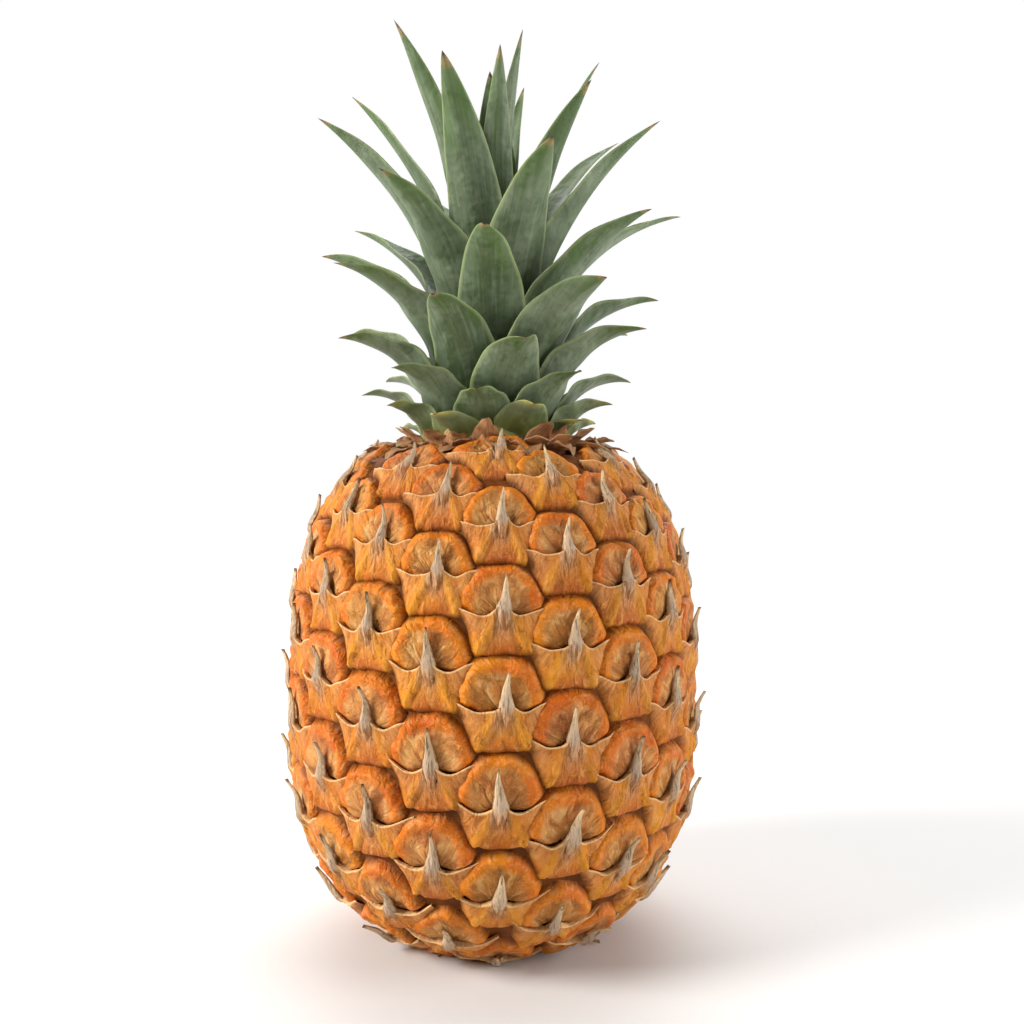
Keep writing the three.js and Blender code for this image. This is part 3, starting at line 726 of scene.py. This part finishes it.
def growBlades(name, shapes, tree, material, around, along, thickness):
    columns = {key: np.array([shape[key] for shape in shapes], np.float32) for key in shapes[0]}
    points = meshObject(name + " points", np.zeros((len(shapes), 3)), [], columns)
    piece = runTree(points, tree, {
        "Around": around, "Along": along, "Thickness": thickness, "Finish": material}, name)
    piece.data.materials.clear()
    piece.data.materials.append(material)
    shadeSmooth(piece)
    print(name, len(piece.data.polygons), "faces")
    return piece


crown = {
    "leaves": 57,
    "turn": math.radians(137.508),
    "firstTurn": math.radians(57.3),
    "base": 148.8,
    "sunk": 1.0,
    "rise": 46.0,
    "climb": 1.4,
    "stemRadius": 24.5,
    "heartRadius": 2.0,
    "narrowing": 2.2,
    "rootDepth": 2.5,
    "shortest": 16,
    "growth": 72,
    "fullAt": 0.8,  # of the way from the lowest leaf to the heart
    "growthPower": 1.45,
    "heartLess": 6,
    "rootTilt": 16,  # degrees from upright
    "chordMore": 54,
    "chordAtHeart": 4,
    "curl": 1.9,
    "lowestWidth": 21,
    "middleWider": 2,
    "heartNarrower": 10,
    "lengthChance": 0.1,
    "bendChance": 0.1,
    "turnChance": math.radians(5),
    "lastWider": 1.5,  # the last leaf is alone in the heart
    "thickness": 1.6,
}


def crownLeaf(number):
    place = number / (crown["leaves"] - 1)
    rootTilt = crown["rootTilt"] * math.sqrt(1 - place)
    chord = crown["chordMore"] * (1 - place ** 3) + crown["chordAtHeart"]
    grown = min(1, place / crown["fullAt"]) ** crown["growthPower"]
    length = crown["shortest"] + crown["growth"] * grown
    length = length - crown["heartLess"] * float(smooth(place, crown["fullAt"], 1))
    bend = crown["curl"] * (chord - rootTilt) * (1 + crown["bendChance"] * chance(number, 2))
    stem = crown["stemRadius"] + (crown["heartRadius"] - crown["stemRadius"]) * place ** crown["narrowing"]
    width = crown["lowestWidth"] + crown["middleWider"] * float(smooth(place, 0, 0.4))
    width = width - crown["heartNarrower"] * float(smooth(place, 0.7, 1))
    wider = 1 if place < 1 else crown["lastWider"]
    return {
        "radius": stem - crown["rootDepth"],
        "height": crown["base"] - crown["sunk"] + crown["rise"] * place ** crown["climb"],
        "length": length * (1 + crown["lengthChance"] * chance(number, 1)),
        "width": width * wider,
        "rootTilt": math.radians(rootTilt),
        "tipTilt": math.radians(rootTilt + bend),
        "turn": crown["firstTurn"] + number * crown["turn"] + crown["turnChance"] * chance(number, 4),
        "channel": 0.32 + 0.12 * place,
        "twist": 0.22 * chance(number, 3),
        "sway": 2.0 * chance(number, 8),
        "wave": 0.6 + 0.4 * chance(number, 5),
        "hook": 1.2 * chance(number, 6),
        "base": 1.3 + 0.8 * float(smooth(place, 0.1, 0.5)),
        "age": place,
        "chance": 0.5 + 0.5 * chance(number, 7),
    }


def leafFinish():
    material, nodes = newMaterial("crown leaf")
    coordinates = nodes.objectCoordinates()
    t, u = nodes.attribute("along", "Fac"), nodes.attribute("across", "Fac")
    age, chance = nodes.attribute("age", "Fac"), nodes.attribute("chance", "Fac")
    side = u.math("ABSOLUTE")
    wide = u * (1.0 - t * t)  # stripes keep their width where a leaf narrows
    stripes = nodes.noise(nodes.combine(wide * 6.0, t * 1.2, chance * 50.0), 2.5, 3.0, 0.6)
    swells = nodes.noise(coordinates, 170.0, 2.0)
    broad = nodes.noise(nodes.combine(wide * 2.0, t * 2.0, chance * 70.0), 1.3, 3.0, 0.55, 0.5)
    clouds = nodes.noise(coordinates, 70.0, 4.0, 0.6)
    spots = nodes.noise(coordinates, 420.0, 5.0, 0.65)
    pale = nodes.smooth(clouds + chance * 0.3, 0.45, 0.85)
    green = nodes.mix(pale, srgb(110, 126, 94), srgb(148, 160, 134))
    green = nodes.mix(nodes.smooth(stripes, 0.52, 0.7) * 0.3, green, srgb(168, 180, 158))
    green = nodes.mix(nodes.smooth(stripes, 0.46, 0.32) * 0.3, green, srgb(76, 96, 54))
    fresh = nodes.smooth(t + (broad - 0.5) * 1.1, 0.62, 0.95) + nodes.smooth(broad, 0.58, 0.7) * 0.4
    green = nodes.mix(fresh * 0.6, green, srgb(96, 126, 54))
    # painted shade: darker towards the leaf's base, where the leaves crowd together
    green = nodes.mix(nodes.smooth(t, 0.55, 0.1) * 0.8, green, srgb(58, 76, 36))
    green = nodes.mix(nodes.smooth(spots, 0.5, 0.72) * 0.35, green, srgb(84, 100, 64))
    green = nodes.mix(nodes.smooth(side, 0.86, 0.98) * 0.6, green, srgb(170, 182, 132))
    young = nodes.smooth(age, 0.22, 0.0) * nodes.smooth(t, 0.9, 0.1)
    green = nodes.mix(young * 0.75, green, srgb(158, 166, 92))
    yellowTip = nodes.smooth(t + side * 0.1, 0.70, 1.0) * nodes.smooth(age, 0.2, 0.02)
    green = nodes.mix(yellowTip, green, srgb(206, 204, 132))
    green = nodes.mix(nodes.smooth(t + (spots - 0.5) * 0.1, 0.93, 0.97) * 0.8, green, srgb(168, 148, 104))
    green = nodes.mix(nodes.smooth(t + (spots - 0.5) * 0.04, 0.97, 0.99), green, srgb(92, 70, 54))
    finishMaterial(nodes, green, nodes.smooth(clouds, 0.3, 0.7, 0.45, 0.6), swells, 0.0012)
    return material


# The neck's dry bracts

neck = {
    "count": 60,
    "radius": 25.5,
    "height": 146.6,
    "length": 15.0,
    "width": 10.5,
    "thickness": 0.9,
    "rowRadii": (4.5, 2.5, -1.5),  # the lowest row hangs over the shoulder, the highest stands
    "rowHeights": (-0.5, 0.0, 1.6),
    "rowLengths": (0.85, 0.8, 0.65),
    "rowRootTilts": (56, 44, 30),  # degrees from upright
    "rowTipTilts": (140, 116, 84),
}


def dryBract(number):
    row = number % 3
    return {
        "radius": neck["radius"] + neck["rowRadii"][row],
        "height": neck["height"] + neck["rowHeights"][row],
        "length": neck["length"] * (neck["rowLengths"][row] + 0.2 * chance(number, 11)),
        "width": neck["width"] * (0.95 + 0.25 * chance(number, 12)),
        "rootTilt": math.radians(neck["rowRootTilts"][row] + 10 * chance(number, 13)),
        "tipTilt": math.radians(neck["rowTipTilts"][row] + 18 * chance(number, 14)),
        "turn": number * 2 * math.pi / neck["count"] + 0.05 * chance(number, 15),
        "channel": 0.15 + 0.4 * chance(number, 16),
        "twist": 0.5 * chance(number, 17),
        "sway": 2.0 * chance(number, 18),
        "wave": 1.5 + chance(number, 19),
        "hook": chance(number, 20),
        "base": 1.5,
        "age": 0.0,
        "chance": 0.5 + 0.5 * chance(number, 21),
    }


def lathed(name, profile, around, material):  # a closed turned body from pairs of radius and height
    turn = np.linspace(0, 2 * np.pi, around, endpoint=False)
    points = [[r * math.sin(a), -r * math.cos(a), z] for r, z in profile for a in turn]
    last = (len(profile) - 1) * around
    points += [[0, 0, profile[0][1]], [0, 0, profile[-1][1]]]
    faces = gridFaces(len(profile), around, True)
    faces += [((j + 1) % around, j, len(points) - 2) for j in range(around)]
    faces += [(last + j, last + (j + 1) % around, len(points) - 1) for j in range(around)]
    piece = meshObject(name, np.array(points) * mm, faces)
    bpy.context.scene.collection.objects.link(piece)
    piece.data.materials.append(material)
    shadeSmooth(piece)
    return piece


def crownStem(material):  # as wide at each height as the leaves that leave it there
    profile = [(crown["stemRadius"], crown["base"])]
    for place in np.linspace(0, 1, 14):
        radius = crown["stemRadius"] + (crown["heartRadius"] - crown["stemRadius"]) * place ** 2.2
        profile.append((radius - 0.5, crown["base"] + 0.2 + crown["rise"] * place ** 1.4))
    return lathed("crown_stem", profile, 48, material)


def neckPlug(material):
    return lathed("neck_plug", [(27.5, 145.9), (27.0, 147.0), (25.5, 148.5)], 64, material)


def dryFinish():
    material, nodes = newMaterial("dry bract")
    coordinates = nodes.objectCoordinates()
    t, u = nodes.attribute("along", "Fac"), nodes.attribute("across", "Fac")
    chance = nodes.attribute("chance", "Fac")
    stripes = nodes.noise(nodes.combine(u * 7.0, t * 0.8, chance * 50.0), 2.5, 4.0, 0.6)
    clouds = nodes.noise(coordinates, 150.0, 3.0)
    colour = nodes.mix(nodes.smooth(clouds, 0.35, 0.65), srgb(194, 142, 96), srgb(224, 180, 132))
    colour = nodes.mix(nodes.smooth(stripes, 0.5, 0.68) * 0.6, colour, srgb(222, 192, 158))
    colour = nodes.mix(nodes.smooth(stripes, 0.48, 0.34) * 0.7, colour, srgb(116, 70, 46))
    colour = nodes.mix(nodes.smooth(t, 0.25, 0.0) * 0.8, colour, srgb(190, 104, 40))
    colour = nodes.mix(nodes.smooth(t, 0.75, 1.0) * chance, colour, srgb(206, 196, 150))
    finishMaterial(nodes, colour, 0.75, stripes, 0.0006)
    return material


def plugFinish():
    material, nodes = newMaterial("neck plug")
    clouds = nodes.noise(nodes.objectCoordinates(), 260.0, 4.0, 0.6)
    colour = nodes.mix(nodes.smooth(clouds, 0.35, 0.65), srgb(140, 92, 60), srgb(186, 136, 98))
    finishMaterial(nodes, colour, 0.8, clouds, 0.0006)
    return material


def stemFinish():
    material, nodes = newMaterial("crown stem")
    clouds = nodes.noise(nodes.objectCoordinates(), 200.0, 4.0, 0.6)
    colour = nodes.mix(nodes.smooth(clouds, 0.35, 0.65), srgb(96, 104, 54), srgb(150, 156, 96))
    finishMaterial(nodes, colour, 0.7, clouds, 0.0004)
    return material


# The cut stalk keeps its solid's shape

def stalkFinish():
    material, nodes = newMaterial("cut stalk")
    coordinates = nodes.objectCoordinates()
    x, y, _ = nodes.split(coordinates)
    radius = ((x * x + y * y) ** 0.5) / 0.013
    fibres = nodes.add("ShaderNodeTexVoronoi", {"feature": "F1"}, {"Vector": coordinates, "Scale": 900.0})
    clouds = nodes.noise(coordinates, 180.0, 4.0)
    colour = nodes.mix(nodes.smooth(clouds, 0.35, 0.65), srgb(196, 170, 116), srgb(168, 132, 84))
    colour = nodes.mix(nodes.smooth(fibres, 0.3, 0.1) * 0.5, colour, srgb(112, 78, 46))
    colour = nodes.mix(nodes.smooth(radius, 0.82, 0.98), colour, srgb(122, 84, 46))
    finishMaterial(nodes, colour, 0.85, fibres + clouds, 0.0006)
    return material


# Camera, light and floor

studio = {
    "distance": 0.3125,
    "cameraHeight": 0.129,
    "aside": 0.0059,
    "lens": 34.36,
    "skyBehind": 1.0,
    "skyInFront": 0.06,
}


def areaLight(name, place, aim, size, power, colour=(1, 1, 1)):
    light = bpy.data.lights.new(name, "AREA")
    light.shape = "DISK"
    light.size, light.energy, light.color = size, power, colour
    thing = bpy.data.objects.new(name, light)
    thing.location = place
    thing.rotation_euler = (Vector(aim) - Vector(place)).to_track_quat("-Z", "Y").to_euler()
    bpy.context.scene.collection.objects.link(thing)


def setStudio():
    scene = bpy.context.scene
    camera = bpy.data.objects.new("camera", bpy.data.cameras.new("camera"))
    camera.data.lens, camera.data.sensor_width = studio["lens"], 36.0
    camera.data.clip_start = 0.01
    camera.location = (studio["aside"], -studio["distance"], studio["cameraHeight"])
    camera.rotation_euler = (math.pi / 2, 0, 0)
    scene.collection.objects.link(camera)
    scene.camera = camera
    areaLight("left", (-1.15, -0.42, 0.75), (0, 0, 0.14), 0.6, 26.0, (1.0, 0.98, 0.95))
    areaLight("right", (1.2, -0.3, 0.5), (0, 0, 0.14), 0.7, 11.0)
    areaLight("top", (0.0, 0.2, 1.3), (0, 0, 0.1), 1.0, 4.0)
    areaLight("behind", (0.0, 3.0, 2.0), (0, 3.0, 0), 4.0, 110.0)
    world = bpy.data.worlds.new("studio")
    world.use_nodes = True
    nodes = Nodes(world.node_tree)
    _, depth, _ = nodes.split(nodes.add("ShaderNodeTexCoord"))  # where a ray of sky comes from
    strength = nodes.smooth(depth, 0.1, 0.6, studio["skyInFront"], studio["skyBehind"])
    sky = nodes.add("ShaderNodeBackground", None, {"Color": (1, 1, 1, 1), "Strength": strength})
    nodes.finish("ShaderNodeOutputWorld", sky)
    scene.world = world
    scene.view_settings.view_transform = "Standard"
    floor = meshObject("floor", [(-4, -4, 0), (4, -4, 0), (4, 2, 0), (-4, 2, 0)], [(0, 1, 2, 3)])
    scene.collection.objects.link(floor)
    material, nodes = newMaterial("pale floor")
    grain = nodes.noise(nodes.objectCoordinates(), 3.0)
    finishMaterial(nodes, nodes.mix(grain, srgb(228, 228, 227), srgb(232, 232, 232)), 0.8)
    floor.data.materials.append(material)


def assemble():
    setStudio()
    print("studio set")
    spots = eyePoints(*eyeMiddles())
    height = spots["middle"][:, 2]
    room = cellRoom(spots)
    shields = np.where((height > eyes["lowest"]) & (height < eyes["highest"]))[0]
    bracts = np.where((height > eyes["lowest"]) & (height < eyes["highestBract"]))[0]
    tree = eyeTree()
    fruitPieces = [rindBody(rindFinish())]
    fruitPieces.append(setEyes("eye_shields", shieldTemplate, shieldFinish(), spots, shields, room, tree))
    fruitPieces.append(setEyes("eye_bracts", bractTemplate, bractFinish(), spots, bracts, room, tree))
    for piece in fruitPieces:
        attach(piece, "root")
        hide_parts("fruit")
    blades = bladeTree()
    leafShapes = [crownLeaf(n) for n in range(crown["leaves"])]
    leaves = growBlades("crown_leaves", leafShapes, blades, leafFinish(), 28, 40, crown["thickness"])
    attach(leaves, "root")
    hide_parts("crown")
    stem = crownStem(stemFinish())
    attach(stem, "root")
    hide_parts("crown")
    dryShapes = [dryBract(n) for n in range(neck["count"])]
    bracts = growBlades("dry_bracts", dryShapes, blades, dryFinish(), 16, 14, neck["thickness"])
    plug = neckPlug(plugFinish())
    for piece in (bracts, plug):
        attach(piece, "root")
        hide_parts("neck_bracts")
    stalk = frame["nodes"]["stalk"]
    stalk.data.materials.clear()
    stalk.data.materials.append(stalkFinish())


assemble()
